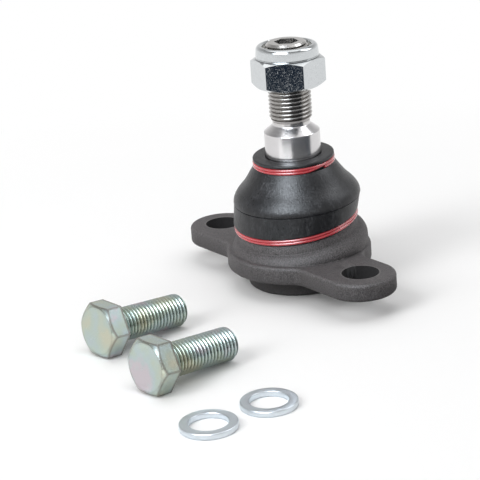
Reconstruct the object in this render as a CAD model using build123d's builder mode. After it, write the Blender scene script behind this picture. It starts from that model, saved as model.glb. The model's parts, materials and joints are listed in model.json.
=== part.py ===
from build123d import *
import os
from math import asin, atan2, cos, radians, sin, sqrt, tan

# Suspension ball joint with a two-hole flange, its lock nut, and its bolts and washers beside it.
# Millimetres, +Z up along the stud. The origin is the middle of the foot, on the ground.
# X runs along the line of the two flange holes.

# Clearances
ball_clearance = 0.03
seat_clearance = 0.02
thread_clearance = 0.05
rubber_clearance = 0.05
face_gap = 0.2

# Ball and its plastic seat
ball_radius = 15.0
ball_flat_radius = 5.0
swing_angle = 25.5
swing_margin = 2.5
seat_wall = 2.0
seat_floor = 1.4
seat_slot_width = 1.6
seat_slots = 4
grease_hole_radius = 4.0

# Closing plate and the rim that is rolled over it
rim_thickness = 1.0
rim_wall = 2.2
rim_lap = 2.6
foot_round = 1.2
cover_thickness = 2.4
cover_ledge = 0.6
cover_pad_radius = 9.0
cover_pad_round = 0.6

# Flange with its two lugs
flange_underside = 7.2
flange_thickness = 6.8
flange_round = 1.3
shoulder_width = 4.8
shoulder_ledge = 1.4
shoulder_bow = 1.2
bolt_spacing = 82.0
bolt_line_offset = 5.0
bolt_hole_radius = 6.75
lug_radius = 13.0
lug_blend_radius = 7.0

# Neck of the housing, which carries the boot and leans towards the flange holes
socket_lean = 7.0
socket_wall = 3.6
neck_step = 0.15
neck_straight = 3.3
crown_height = 1.4
crown_lap = 0.8
crown_round = 0.7

# Wire rings
wire_diameter = 1.15
strand_press = 0.05

# Rubber boot
boot_bead_wall = 1.75
boot_bead_height = 3.05
boot_foot_height = 0.5
boot_foot_step = 0.3
boot_skirt_step = 1.3
boot_wall = 2.1
boot_crease_height = 9.8
boot_height = 26.7
boot_lip_height = 1.3
boot_lip_radius = 15.3
boot_lip_bead = 5.2
boot_shoulder_height = 6.0
boot_shoulder_step = 3.25
boot_throat_step = 0.1
lip_groove_depth = 1.0
crease_lean_share = 0.42
shoulder_lean_share = 0.37
lip_lean_share = 0.3
crease_shift = 0.48
shoulder_shift = 0.38

# Stud
neck_radius = 6.8
neck_length = 17.0
pin_radius = 10.45
pin_length = 8.4
land_step = 0.25
land_length = 7.4
pin_chamfer_height = 2.8
relief_radius = 7.0
relief_length = 1.2
runout_length = 1.7
thread_radius = 8.0
thread_length = 28.0
stud_end_chamfer = 1.2
hex_socket_across = 8.0
hex_socket_depth = 6.0

# Lock nut with its nylon ring
stud_end_proud = 1.0
nut_across_flats = 24.0
nut_turn = -15.0
nut_hex_height = 11.0
collar_height = 4.6
nut_face_inset = 0.7
nut_chamfer_angle = 30.0
collar_radius = 11.75
collar_round = 1.5
collar_mouth_step = 1.1
collar_lip = 1.0
collar_wall = 1.6
insert_height = 3.6

# Flange bolts and washers, which lie on the ground beside the joint
bolt_radius = 6.0
bolt_length = 30.0
bolt_across_flats = 18.0
bolt_head_height = 7.5
bolt_face_inset = 0.5
bolt_chamfer_angle = 30.0
bolt_bearing_height = 0.6
bolt_bearing_inset = 0.6
bolt_tip_chamfer = 1.1
bolt_places = [(5.6, -89.7), (44.3, -96.2)]
bolt_headings = [94.4, 95.2]
washer_radius = 9.6
washer_bore_radius = 6.5
washer_thickness = 2.0
washer_round = 0.3
washer_places = [(80.0, -104.4), (81.1, -80.7)]

# Radii of the socket, from the ball outwards
seat_bore = ball_radius + ball_clearance
seat_radius = seat_bore + seat_wall
socket_bore = seat_radius + seat_clearance
boot_seat_radius = socket_bore + socket_wall
bead_bore = boot_seat_radius + rubber_clearance
lower_groove_radius = bead_bore + boot_bead_wall
neck_outer_radius = lower_groove_radius + neck_step
flange_radius = neck_outer_radius + shoulder_width
cover_radius = socket_bore + cover_ledge
cover_recess = cover_radius + seat_clearance
foot_radius = cover_recess + rim_wall
rim_mouth = cover_recess - rim_lap

# Heights of the socket, from the ground up
cover_top = rim_thickness + cover_thickness
ball_centre = cover_top + seat_floor + seat_bore
mouth_angle = asin(neck_radius / seat_bore) + radians(swing_angle + swing_margin + socket_lean)
seat_lip_angle = mouth_angle + radians(socket_lean)
crown_top = ball_centre + socket_bore * cos(mouth_angle)
groove_top = crown_top - crown_height
neck_ledge = groove_top - boot_bead_height - 2 * face_gap
flange_top = flange_underside + flange_thickness
flange_middle = flange_underside + flange_thickness / 2
bolt_line_y = -bolt_line_offset

# Heights and radii of the boot
boot_foot = neck_ledge + face_gap
bead_top = boot_foot + boot_bead_height
wire_radius = wire_diameter / 2
strand_pitch = wire_diameter - strand_press
ring_groove_height = strand_pitch + wire_diameter + 2 * rubber_clearance
lower_groove_foot = boot_foot + boot_foot_height
lower_groove_top = lower_groove_foot + ring_groove_height
skirt_radius = lower_groove_radius + boot_skirt_step
crease_height = boot_foot + boot_crease_height
lip_top = boot_foot + boot_height
upper_groove_top = lip_top - boot_lip_height
upper_groove_foot = upper_groove_top - ring_groove_height
upper_groove_radius = boot_lip_radius - lip_groove_depth
lip_middle = upper_groove_foot + ring_groove_height / 2
throat_radius = boot_lip_radius - boot_throat_step
shoulder_radius = skirt_radius - boot_shoulder_step
shoulder_height = crease_height + boot_shoulder_height
crown_radius = boot_seat_radius + crown_lap

# Heights and radii of the stud and the nut
land_radius = pin_radius - land_step
lip_bore = land_radius + rubber_clearance
lip_rise = boot_lip_radius * sin(radians(socket_lean * lip_lean_share))
pin_foot = lip_top + lip_rise + face_gap
land_foot = pin_foot - land_length
pin_top = pin_foot + pin_length
relief_foot = pin_top + pin_chamfer_height
relief_top = relief_foot + relief_length
thread_foot = relief_top + runout_length
stud_top = thread_foot + thread_length
nut_height = nut_hex_height + collar_height
nut_top = stud_top - stud_end_proud
nut_foot = nut_top - nut_height
nut_bore = thread_radius + thread_clearance
insert_radius = collar_radius - collar_wall
insert_top = nut_top - collar_lip
insert_foot = insert_top - insert_height

os.makedirs("parts", exist_ok=True)


def hex_corner_radius(across_flats):
    """Distance from the middle of a hexagon to its corners."""
    return across_flats / sqrt(3)


def chamfer_fall(across_flats, inset, angle):
    """How far a hexagon's corners are cut back where its round chamfer starts inside the flats."""
    return (hex_corner_radius(across_flats) - across_flats / 2 + inset) * tan(radians(angle))


def corners_at(profile, radius):
    """The corners of a turned profile that lie at one radius, from the lowest up."""
    return profile.vertices().filter_by_position(Axis.X, radius, radius).sort_by(Axis.Y)


def leaning_plane(height, lean_share=1.0, pivot=ball_centre, shift=0.0):
    """A plane across the stud's axis at one height, leaning about a pivot by a share of the socket's lean."""
    lean = radians(socket_lean * lean_share)
    reach = height - pivot
    return Plane(
        origin=(0, shift - reach * sin(lean), pivot + reach * cos(lean)),
        x_dir=(1, 0, 0),
        z_dir=(0, -sin(lean), cos(lean)),
    )


# The socket's mouth: its axis, and the plane through that axis in which its profiles are drawn
mouth_plane = leaning_plane(0)
mouth_axis = Axis(mouth_plane.origin, mouth_plane.z_dir)
mouth_section = Plane(origin=mouth_plane.origin, x_dir=mouth_plane.x_dir, z_dir=-mouth_plane.y_dir)

# The boot's lip leans a little on the stud, so it has an axis and a plane of its own
lip_plane = leaning_plane(0, lip_lean_share, lip_middle)
lip_axis = Axis(lip_plane.origin, lip_plane.z_dir)
lip_section = Plane(origin=lip_plane.origin, x_dir=lip_plane.x_dir, z_dir=-lip_plane.y_dir)

# Neck: the bowed shoulder, the ledge and groove for the boot, and the crown, all round the leaning axis
with BuildPart() as neck:
    with BuildSketch(mouth_section) as neck_outline:
        with BuildLine():
            shoulder_foot = (flange_radius - shoulder_ledge, flange_top)
            shoulder_head = (neck_outer_radius, neck_ledge - neck_straight)
            Polyline((0, 0), (shoulder_foot[0], 0), shoulder_foot)
            SagittaArc(shoulder_foot, shoulder_head, -shoulder_bow)
            Polyline(
                shoulder_head,
                (neck_outer_radius, neck_ledge),
                (boot_seat_radius, neck_ledge),
                (boot_seat_radius, groove_top),
                (crown_radius, groove_top),
                (crown_radius, crown_top),
                (0, crown_top),
                (0, 0),
            )
        make_face()
        fillet(corners_at(neck_outline, crown_radius)[-1], crown_round)
    revolve(axis=mouth_axis)
    split(bisect_by=Plane.XY.offset(flange_middle), keep=Keep.TOP)

# Housing: a forged flange with two lugs, and a round socket through it that is open at both ends
with BuildPart() as housing:
    with BuildSketch(Plane.XY.offset(flange_underside)) as flange_outline:
        Circle(flange_radius)
        with Locations((0, bolt_line_y)):
            SlotCenterToCenter(bolt_spacing, 2 * lug_radius)
        fillet(flange_outline.vertices().sort_by_distance((0, 0, 0))[:4], lug_blend_radius)
        with Locations((0, bolt_line_y)):
            with GridLocations(bolt_spacing, 0, 2, 1):
                Circle(bolt_hole_radius, mode=Mode.SUBTRACT)
    extrude(amount=flange_thickness)
    flange_faces = housing.faces().sort_by(Axis.Z)
    fillet(flange_faces[0].outer_wire().edges() + flange_faces[-1].outer_wire().edges(), flange_round)

    with BuildSketch(Plane.XZ) as foot_outline:
        Rectangle(foot_radius, flange_top, align=Align.MIN)
        fillet(corners_at(foot_outline, foot_radius)[0], foot_round)
    revolve(axis=Axis.Z)
    add(neck.part)

    with BuildSketch(Plane.XZ):
        with BuildLine():
            Polyline(
                (0, 0),
                (rim_mouth, 0),
                (rim_mouth, rim_thickness),
                (cover_recess, rim_thickness),
                (cover_recess, cover_top),
                (socket_bore, cover_top),
                (socket_bore, ball_centre),
                (0, ball_centre),
                (0, 0),
            )
        make_face()
    revolve(axis=Axis.Z, mode=Mode.SUBTRACT)
    with Locations((0, 0, ball_centre)):
        Sphere(socket_bore, mode=Mode.SUBTRACT)
housing.part.label = "housing"
export_step(housing.part, "parts/housing.step")

# Closing plate: a disc with a raised pad, held in the foot of the housing by the rolled rim
with BuildPart() as cover_plate:
    with BuildSketch(Plane.XY.offset(rim_thickness)):
        Circle(cover_radius)
    extrude(amount=cover_thickness)
    with BuildSketch(Plane.XY):
        Circle(cover_pad_radius)
    extrude(amount=rim_thickness)
    fillet(cover_plate.edges().group_by(Axis.Z)[0], cover_pad_round)
cover_plate.part.label = "cover_plate"
export_step(cover_plate.part, "parts/cover_plate.step")

# Ball seat: a slotted plastic cup that wraps past the middle of the ball
with BuildPart() as ball_seat:
    with BuildSketch(Plane.XZ):
        with BuildLine():
            lip_direction = (sin(seat_lip_angle), cos(seat_lip_angle))
            half_angle = (seat_lip_angle + radians(90)) / 2
            lip_inner = (seat_bore * lip_direction[0], ball_centre + seat_bore * lip_direction[1])
            lip_outer = (seat_radius * lip_direction[0], ball_centre + seat_radius * lip_direction[1])
            hole_edge = (grease_hole_radius, ball_centre - sqrt(seat_bore**2 - grease_hole_radius**2))
            Polyline(
                hole_edge,
                (grease_hole_radius, cover_top),
                (seat_radius, cover_top),
                (seat_radius, ball_centre),
            )
            ThreePointArc(
                (seat_radius, ball_centre),
                (seat_radius * sin(half_angle), ball_centre + seat_radius * cos(half_angle)),
                lip_outer,
            )
            Line(lip_outer, lip_inner)
            ThreePointArc(lip_inner, (seat_bore, ball_centre), hole_edge)
        make_face()
    revolve(axis=Axis.Z)
    with BuildSketch(Plane.XY.offset(cover_top)):
        with PolarLocations(seat_radius, seat_slots):
            Rectangle(seat_radius, seat_slot_width)
    extrude(amount=ball_centre - cover_top, mode=Mode.SUBTRACT)
ball_seat.part.label = "ball_seat"
export_step(ball_seat.part, "parts/ball_seat.step")

# Ball stud: ball, neck, land for the boot, pin, relief groove and threaded end with a hexagon socket
with BuildPart() as ball_stud:
    with BuildSketch(Plane.XZ):
        with BuildLine():
            ball_foot = (ball_flat_radius, ball_centre - sqrt(ball_radius**2 - ball_flat_radius**2))
            ball_head = (neck_radius, ball_centre + sqrt(ball_radius**2 - neck_radius**2))
            Line((0, ball_foot[1]), ball_foot)
            ThreePointArc(ball_foot, (ball_radius, ball_centre), ball_head)
            Polyline(
                ball_head,
                (neck_radius, ball_centre + neck_length),
                (land_radius, land_foot),
                (land_radius, pin_foot),
                (pin_radius, pin_foot),
                (pin_radius, pin_top),
                (relief_radius, relief_foot),
                (relief_radius, relief_top),
                (thread_radius, thread_foot),
                (thread_radius, stud_top - stud_end_chamfer),
                (thread_radius - stud_end_chamfer, stud_top),
                (0, stud_top),
                (0, ball_foot[1]),
            )
        make_face()
    revolve(axis=Axis.Z)
    with BuildSketch(Plane.XY.offset(stud_top)):
        RegularPolygon(hex_socket_across / 2, 6, major_radius=False, rotation=nut_turn)
    extrude(amount=-hex_socket_depth, mode=Mode.SUBTRACT)
ball_stud.part.label = "ball_stud"
export_step(ball_stud.part, "parts/ball_stud.step")

# Dust boot: a rubber bell lofted from the leaning neck up to the stud, with a wall of even thickness
crease_plane = leaning_plane(crease_height, crease_lean_share, crease_height, crease_shift)
shoulder_plane = leaning_plane(shoulder_height, shoulder_lean_share, shoulder_height, shoulder_shift)
bell_rings = [
    (skirt_radius, leaning_plane(lower_groove_top)),
    (skirt_radius, crease_plane),
    (shoulder_radius, shoulder_plane),
    (throat_radius, leaning_plane(upper_groove_foot, lip_lean_share, lip_middle)),
]
hollow_rings = [
    (skirt_radius - boot_wall, leaning_plane(bead_top)),
    (skirt_radius - boot_wall, crease_plane),
    (shoulder_radius - boot_wall, shoulder_plane.offset(-boot_wall / 2)),
    (throat_radius - boot_wall, leaning_plane(lip_top - boot_lip_bead, lip_lean_share, lip_middle)),
]
with BuildPart() as boot_hollow:
    for ring_radius, ring_plane in hollow_rings:
        with BuildSketch(ring_plane):
            Circle(ring_radius)
    loft()
with BuildPart() as dust_boot:
    for ring_radius, ring_plane in bell_rings:
        with BuildSketch(ring_plane):
            Circle(ring_radius)
    loft()
    # Bead with its ring groove, on the neck
    with BuildSketch(mouth_section):
        with BuildLine():
            Polyline(
                (0, boot_foot),
                (lower_groove_radius + boot_foot_step, boot_foot),
                (lower_groove_radius + boot_foot_step, lower_groove_foot),
                (lower_groove_radius, lower_groove_foot),
                (lower_groove_radius, lower_groove_top),
                (0, lower_groove_top),
                (0, boot_foot),
            )
        make_face()
    revolve(axis=mouth_axis)
    # Lip with its ring groove, on the stud
    with BuildSketch(lip_section):
        with BuildLine():
            Polyline(
                (0, upper_groove_foot),
                (upper_groove_radius, upper_groove_foot),
                (upper_groove_radius, upper_groove_top),
                (boot_lip_radius, upper_groove_top),
                (boot_lip_radius, lip_top),
                (0, lip_top),
                (0, upper_groove_foot),
            )
        make_face()
    revolve(axis=lip_axis)
    add(boot_hollow.part, mode=Mode.SUBTRACT)
    with BuildSketch(leaning_plane(boot_foot)):
        Circle(bead_bore)
    extrude(amount=boot_bead_height, mode=Mode.SUBTRACT)
    # Upright bore for the stud's land, through the leaning lip
    with BuildSketch(Plane.XY.offset(pin_foot)):
        Circle(lip_bore)
    extrude(amount=-(pin_foot - lip_top + boot_lip_bead + boot_wall), mode=Mode.SUBTRACT)
dust_boot.part.label = "dust_boot"
export_step(dust_boot.part, "parts/dust_boot.step")

# Wire rings: two turns of wire that hold the boot on the neck and on the stud
ring_seats = {
    "lower_clamp_ring": (lower_groove_radius, lower_groove_foot, mouth_section, mouth_axis),
    "upper_clamp_ring": (upper_groove_radius, upper_groove_foot, lip_section, lip_axis),
}
for ring_name, (groove_radius, groove_foot, ring_section, ring_axis) in ring_seats.items():
    with BuildPart() as clamp_ring:
        with BuildSketch(ring_section):
            ring_height = groove_foot + ring_groove_height / 2
            with Locations((groove_radius + rubber_clearance + wire_radius, ring_height)):
                with GridLocations(0, strand_pitch, 1, 2):
                    Circle(wire_radius)
        revolve(axis=ring_axis)
    clamp_ring.part.label = ring_name
    export_step(clamp_ring.part, f"parts/{ring_name}.step")

# Lock nut: a hexagon below a round collar that is rolled over the nylon ring
with BuildPart() as lock_nut:
    with BuildSketch(Plane.XY.offset(nut_foot)):
        RegularPolygon(nut_across_flats / 2, 6, major_radius=False, rotation=nut_turn)
    extrude(amount=nut_height)
    with BuildSketch(Plane.XZ) as nut_outline:
        with BuildLine():
            nut_corner = hex_corner_radius(nut_across_flats)
            nut_fall = chamfer_fall(nut_across_flats, nut_face_inset, nut_chamfer_angle)
            collar_inset = nut_across_flats / 2 - collar_radius
            collar_fall = chamfer_fall(nut_across_flats, collar_inset, nut_chamfer_angle)
            Polyline(
                (0, nut_foot),
                (nut_across_flats / 2 - nut_face_inset, nut_foot),
                (nut_corner, nut_foot + nut_fall),
                (nut_corner, nut_foot + nut_hex_height - collar_fall),
                (collar_radius, nut_foot + nut_hex_height),
                (collar_radius, nut_top),
                (0, nut_top),
                (0, nut_foot),
            )
        make_face()
        fillet(corners_at(nut_outline, collar_radius)[-1], collar_round)
    revolve(axis=Axis.Z, mode=Mode.INTERSECT)
    with BuildSketch(Plane.XZ):
        with BuildLine():
            Polyline(
                (0, nut_foot),
                (nut_bore, nut_foot),
                (nut_bore, insert_foot),
                (insert_radius, insert_foot),
                (insert_radius, insert_top),
                (nut_bore + collar_mouth_step, insert_top),
                (nut_bore + collar_mouth_step, nut_top),
                (0, nut_top),
                (0, nut_foot),
            )
        make_face()
    revolve(axis=Axis.Z, mode=Mode.SUBTRACT)
lock_nut.part.label = "lock_nut"
export_step(lock_nut.part, "parts/lock_nut.step")

# Nylon ring, caught in the collar of the nut
with BuildPart() as nut_insert:
    with BuildSketch(Plane.XY.offset(insert_foot)):
        Circle(insert_radius)
        Circle(nut_bore, mode=Mode.SUBTRACT)
    extrude(amount=insert_height)
nut_insert.part.label = "nut_insert"
export_step(nut_insert.part, "parts/nut_insert.step")

# Flange bolts: each lies on a flat of its head and on the rim of its tip
bolt_reach = bolt_length - bolt_tip_chamfer + bolt_bearing_height
bolt_dip = atan2(bolt_across_flats / 2 - bolt_radius, bolt_reach)
bolt_axis_height = bolt_across_flats / 2 * cos(bolt_dip) - bolt_bearing_height * sin(bolt_dip)
for bolt_number, (place, heading) in enumerate(zip(bolt_places, bolt_headings), start=1):
    along = radians(heading)
    bolt_plane = Plane(
        origin=(*place, bolt_axis_height),
        x_dir=(-sin(along), cos(along), 0),
        z_dir=(cos(bolt_dip) * cos(along), cos(bolt_dip) * sin(along), -sin(bolt_dip)),
    )
    bolt_section = Plane(origin=bolt_plane.origin, x_dir=bolt_plane.x_dir, z_dir=-bolt_plane.y_dir)
    bolt_axis = Axis(bolt_plane.origin, bolt_plane.z_dir)
    with BuildPart() as mounting_bolt:
        with BuildSketch(bolt_plane.offset(-bolt_head_height)):
            RegularPolygon(bolt_across_flats / 2, 6, major_radius=False)
        extrude(amount=bolt_head_height)
        with BuildSketch(bolt_section):
            with BuildLine():
                bolt_corner = hex_corner_radius(bolt_across_flats)
                bolt_fall = chamfer_fall(bolt_across_flats, bolt_face_inset, bolt_chamfer_angle)
                bearing_radius = bolt_across_flats / 2 - bolt_bearing_inset
                Polyline(
                    (0, -bolt_head_height),
                    (bolt_across_flats / 2 - bolt_face_inset, -bolt_head_height),
                    (bolt_corner, bolt_fall - bolt_head_height),
                    (bolt_corner, -bolt_bearing_height),
                    (bearing_radius, -bolt_bearing_height),
                    (bearing_radius, 0),
                    (0, 0),
                    (0, -bolt_head_height),
                )
            make_face()
        revolve(axis=bolt_axis, mode=Mode.INTERSECT)
        with BuildSketch(bolt_plane):
            Circle(bolt_radius)
        extrude(amount=bolt_length)
        bolt_tip = mounting_bolt.faces().sort_by(bolt_axis)[-1]
        chamfer(bolt_tip.edges(), bolt_tip_chamfer)
    mounting_bolt.part.label = f"mounting_bolt_{bolt_number}"
    export_step(mounting_bolt.part, f"parts/mounting_bolt_{bolt_number}.step")

# Washers for the bolts, flat on the ground
for washer_number, place in enumerate(washer_places, start=1):
    with BuildPart() as washer:
        with BuildSketch(Plane.XY) as washer_outline:
            with Locations(place):
                Circle(washer_radius)
                Circle(washer_bore_radius, mode=Mode.SUBTRACT)
        extrude(amount=washer_thickness)
        fillet(washer.faces().sort_by(Axis.Z)[-1].outer_wire().edges(), washer_round)
    washer.part.label = f"washer_{washer_number}"
    export_step(washer.part, f"parts/washer_{washer_number}.step")
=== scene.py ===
# %% [markdown]
# A suspension ball joint stands on a white table, with its two flange bolts and washers beside it.
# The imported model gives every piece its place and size. This lesson dresses it: the threads, the wound
# wire rings, the soft rubber and the plated metal are modelled here and given their finishes.

# %% Load the frame
import bpy
import json
import math
from mathutils import Matrix, Vector
from mathutils.geometry import interpolate_bezier


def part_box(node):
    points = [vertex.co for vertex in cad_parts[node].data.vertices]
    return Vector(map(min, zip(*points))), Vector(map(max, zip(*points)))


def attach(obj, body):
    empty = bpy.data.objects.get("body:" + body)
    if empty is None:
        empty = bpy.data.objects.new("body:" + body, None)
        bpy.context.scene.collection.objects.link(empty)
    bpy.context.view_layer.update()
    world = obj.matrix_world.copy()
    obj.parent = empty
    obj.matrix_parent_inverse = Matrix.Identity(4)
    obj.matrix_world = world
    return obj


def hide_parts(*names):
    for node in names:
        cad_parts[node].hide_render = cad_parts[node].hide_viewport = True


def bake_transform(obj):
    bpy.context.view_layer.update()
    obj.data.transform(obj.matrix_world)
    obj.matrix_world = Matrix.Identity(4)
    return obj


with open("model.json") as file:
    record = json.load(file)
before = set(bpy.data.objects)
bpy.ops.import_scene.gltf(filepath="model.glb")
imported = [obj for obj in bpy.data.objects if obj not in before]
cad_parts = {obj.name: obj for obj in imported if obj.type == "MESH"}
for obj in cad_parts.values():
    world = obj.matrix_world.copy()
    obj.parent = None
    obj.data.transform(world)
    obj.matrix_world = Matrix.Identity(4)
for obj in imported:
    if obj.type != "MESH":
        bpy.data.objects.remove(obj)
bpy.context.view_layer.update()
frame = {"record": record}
MM = 0.001

# %% [markdown]
# A long lens looks at the joint from its front right corner and a little from above. The camera is set by
# an aim point, two angles and a slight roll, because those four are easy to read off a picture and to
# correct one by one.

# %% Camera
CAMERA_AIM = Vector((-13.84, -17.45, 16.72)) * MM
CAMERA_DISTANCE = 685.15 * MM
CAMERA_AZIMUTH = math.radians(53.56)
CAMERA_ELEVATION = math.radians(19.66)
CAMERA_ROLL = math.radians(-4.24)

camera_back = Vector((
    math.sin(CAMERA_AZIMUTH) * math.cos(CAMERA_ELEVATION),
    -math.cos(CAMERA_AZIMUTH) * math.cos(CAMERA_ELEVATION),
    math.sin(CAMERA_ELEVATION),
))
camera_level = Vector((math.cos(CAMERA_AZIMUTH), math.sin(CAMERA_AZIMUTH), 0))
camera_right = (camera_level * math.cos(CAMERA_ROLL)
                + camera_back.cross(camera_level) * math.sin(CAMERA_ROLL))
camera_turn = Matrix((camera_right, camera_back.cross(camera_right), camera_back)).transposed()

bpy.ops.object.camera_add()
camera = bpy.context.object
camera.data.lens = 135
camera.data.sensor_width = 36
camera.matrix_world = (Matrix.Translation(CAMERA_AIM + camera_back * CAMERA_DISTANCE)
                       @ camera_turn.to_4x4())
bpy.context.scene.camera = camera
bpy.context.scene.view_settings.view_transform = "Standard"
print("camera at", [round(c, 3) for c in camera.location])

# %% [markdown]
# Blender's operators work on what is selected and active, so a few short helpers come first. They pick a
# piece, name what was just added, make a move part of the mesh, smooth the shading, and join or cut solids.

# %% Small helpers
MERGE_DISTANCE = 0.0005 * MM


def pick(piece):
    """Make a piece the only selected one, and the active one."""
    bpy.ops.object.select_all(action="DESELECT")
    piece.select_set(True)
    bpy.context.view_layer.objects.active = piece


def name_new(name):
    """Name the object that was just added, and its data."""
    piece = bpy.context.object
    piece.name = piece.data.name = name
    return piece


def settle():
    """Make the move and turn of the active object part of its mesh."""
    bpy.ops.object.transform_apply(location=True, rotation=True, scale=True)


def merge_doubles():
    """Merge the vertices of the mesh in edit mode that lie in one place."""
    bpy.ops.mesh.select_all(action="SELECT")
    bpy.ops.mesh.remove_doubles(threshold=MERGE_DISTANCE)


def close_mesh():
    """Merge the doubles of the mesh in edit mode, turn its faces outwards and leave edit mode."""
    merge_doubles()
    bpy.ops.mesh.normals_make_consistent(inside=False)
    bpy.ops.object.mode_set(mode="OBJECT")


def soften(piece, degrees):
    """Smooth the shading wherever faces meet at less than this angle, and print the size of the mesh."""
    pick(piece)
    bpy.ops.object.shade_smooth_by_angle(angle=math.radians(degrees))
    print(piece.name, len(piece.data.vertices), "vertices", len(piece.data.polygons), "faces")


def combine(piece, tool, operation):
    """Join, cut or intersect a piece with another solid, which is then used up."""
    pick(piece)
    bpy.ops.object.modifier_add(type="BOOLEAN")
    cut = piece.modifiers[-1]
    cut.operation, cut.solver, cut.object = operation, "EXACT", tool
    bpy.ops.object.modifier_apply(modifier=cut.name)
    bpy.data.objects.remove(tool)
    return piece


# %% [markdown]
# Most of the pieces are turned on a lathe or look as if they were. Two helpers stand for that. The first
# draws an outline: a plane is merged to one vertex, and the vertex is extruded from point to point. The
# second spins the outline round the upright axis and closes the seam.

# %% Outlines and turned pieces
TURN_STEPS = 144
TURNED_SMOOTHING = 34


def draw_outline(name, points):
    """Extrude one vertex through the points (radius, height), and stay in edit mode."""
    bpy.ops.mesh.primitive_plane_add(size=MM, location=(0, 0, 0))
    piece = name_new(name)
    bpy.ops.object.mode_set(mode="EDIT")
    bpy.ops.mesh.select_all(action="SELECT")
    bpy.ops.mesh.merge(type="CENTER")
    bpy.ops.transform.translate(value=(points[0][0], 0, points[0][1]))
    for (radius, height), (next_radius, next_height) in zip(points, points[1:]):
        step = (next_radius - radius, 0, next_height - height)
        bpy.ops.mesh.extrude_region_move(TRANSFORM_OT_translate={"value": step})
    return piece


def spin_outline(steps, angle):
    """Spin the outline in edit mode round the Z axis."""
    bpy.ops.mesh.select_all(action="SELECT")
    bpy.ops.mesh.spin(steps=steps, angle=angle, center=(0, 0, 0), axis=(0, 0, 1))


def turn(name, points, steps=TURN_STEPS):
    """A solid from an outline that is spun once round the Z axis."""
    piece = draw_outline(name, points)
    spin_outline(steps, math.tau)
    close_mesh()
    return piece


def arc(middle, radius, first, last, count=8):
    """Points of an arc in the outline's plane, with angles in degrees from the radius axis."""
    angles = [math.radians(first + (last - first) * i / count) for i in range(count + 1)]
    return [(middle[0] + radius * math.cos(a), middle[1] + radius * math.sin(a)) for a in angles]


# %% [markdown]
# The housing is a forging: a flange with two lugs flows up into a round neck. Its shape is already right
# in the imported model, but that mesh is loose triangles, which can't be shaded smoothly. So a copy of it is
# merged, and the copy takes the place of the node. A Weighted Normal modifier lets its large faces set the
# shading, so that the thin triangles beside an edge don't show. The closing plate is done the same way.

# %% Housing and closing plate
FORGED_SMOOTHING = 28
LARGE_FACE_WEIGHT = 100


def merged_copy(node, name):
    """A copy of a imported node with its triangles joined, so that it can be shaded smoothly."""
    pick(bpy.data.objects[node])
    bpy.ops.object.duplicate(linked=False)
    piece = name_new(name)
    bpy.ops.object.mode_set(mode="EDIT")
    merge_doubles()
    bpy.ops.object.mode_set(mode="OBJECT")
    soften(piece, FORGED_SMOOTHING)
    bpy.ops.object.modifier_add(type="WEIGHTED_NORMAL")
    evened = piece.modifiers[-1]
    evened.keep_sharp = True
    evened.weight = LARGE_FACE_WEIGHT
    bpy.ops.object.modifier_apply(modifier=evened.name)
    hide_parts(node)
    return piece


housing = merged_copy("housing", "forged_housing_body")
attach(housing, "socket")
closing_plate = merged_copy("cover_plate", "pressed_closing_plate")
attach(closing_plate, "socket")

# %% [markdown]
# A thread is one V of its profile, wound up a helix. The Screw modifier does that winding. The helix is
# then cut square at both ends, which closes it, and intersected with a turned blank, so that the thread
# runs out and is chamfered where a lathe would do it. The nut and the bolt heads start as hexagon prisms.

# %% Threads and hexagons
THREAD_STEPS = 96
THREAD_SMOOTHING = 24
THREAD_DEPTH = 0.6134
CUT_TOLERANCE = 0.00005 * MM
CREST_ROUND = 0.12
SPARE_TURNS = 2
THREAD_OVERRUN = 2 * MM
BLANK_MARGIN = 0.2 * MM
HEX_MARGIN = 0.1 * MM
HEX_TURN_STEPS = 192


def hexagon(name, across_flats, foot, top, flat_angle):
    """A six-sided prism with one flat facing a given direction in plan, in degrees."""
    bpy.ops.mesh.primitive_cylinder_add(
        vertices=6, radius=across_flats / math.sqrt(3), depth=top - foot,
        location=(0, 0, (foot + top) / 2), rotation=(0, 0, math.radians(flat_angle)))
    settle()
    return name_new(name)


def wind_thread(name, radius, pitch, foot, top):
    """A closed helix of thread from foot to top."""
    root, crest = radius - THREAD_DEPTH * pitch, CREST_ROUND * pitch
    crown = arc((radius - crest, pitch * 5 / 8), crest, -60, 60, 6)
    vee = [(root, 0), (root, pitch / 4), *crown, (root, pitch)]
    piece = draw_outline(name, [(r, foot - SPARE_TURNS * pitch + h) for r, h in vee])
    bpy.ops.object.mode_set(mode="OBJECT")
    bpy.ops.object.modifier_add(type="SCREW")
    screw = piece.modifiers[-1]
    screw.screw_offset = pitch
    screw.iterations = math.ceil((top - foot) / pitch) + 2 * SPARE_TURNS
    screw.steps = screw.render_steps = THREAD_STEPS
    screw.use_merge_vertices = True
    screw.merge_threshold = MERGE_DISTANCE
    bpy.ops.object.modifier_apply(modifier=screw.name)
    bpy.ops.object.mode_set(mode="EDIT")
    merge_doubles()
    for height, upper in ((foot, False), (top, True)):
        bpy.ops.mesh.select_all(action="SELECT")
        bpy.ops.mesh.bisect(plane_co=(0, 0, height), plane_no=(0, 0, 1), use_fill=True,
                            clear_inner=not upper, clear_outer=upper, threshold=CUT_TOLERANCE)
    close_mesh()
    return piece


# %% [markdown]
# The stud is one bright steel turning: the ball, hidden in its socket, a neck, the land that the boot
# grips, the fitted pin, a chamfer down to a relief groove, and the threaded end with a socket for a hexagon
# key. It is turned in one outline, and the wound thread is joined to it.

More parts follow.
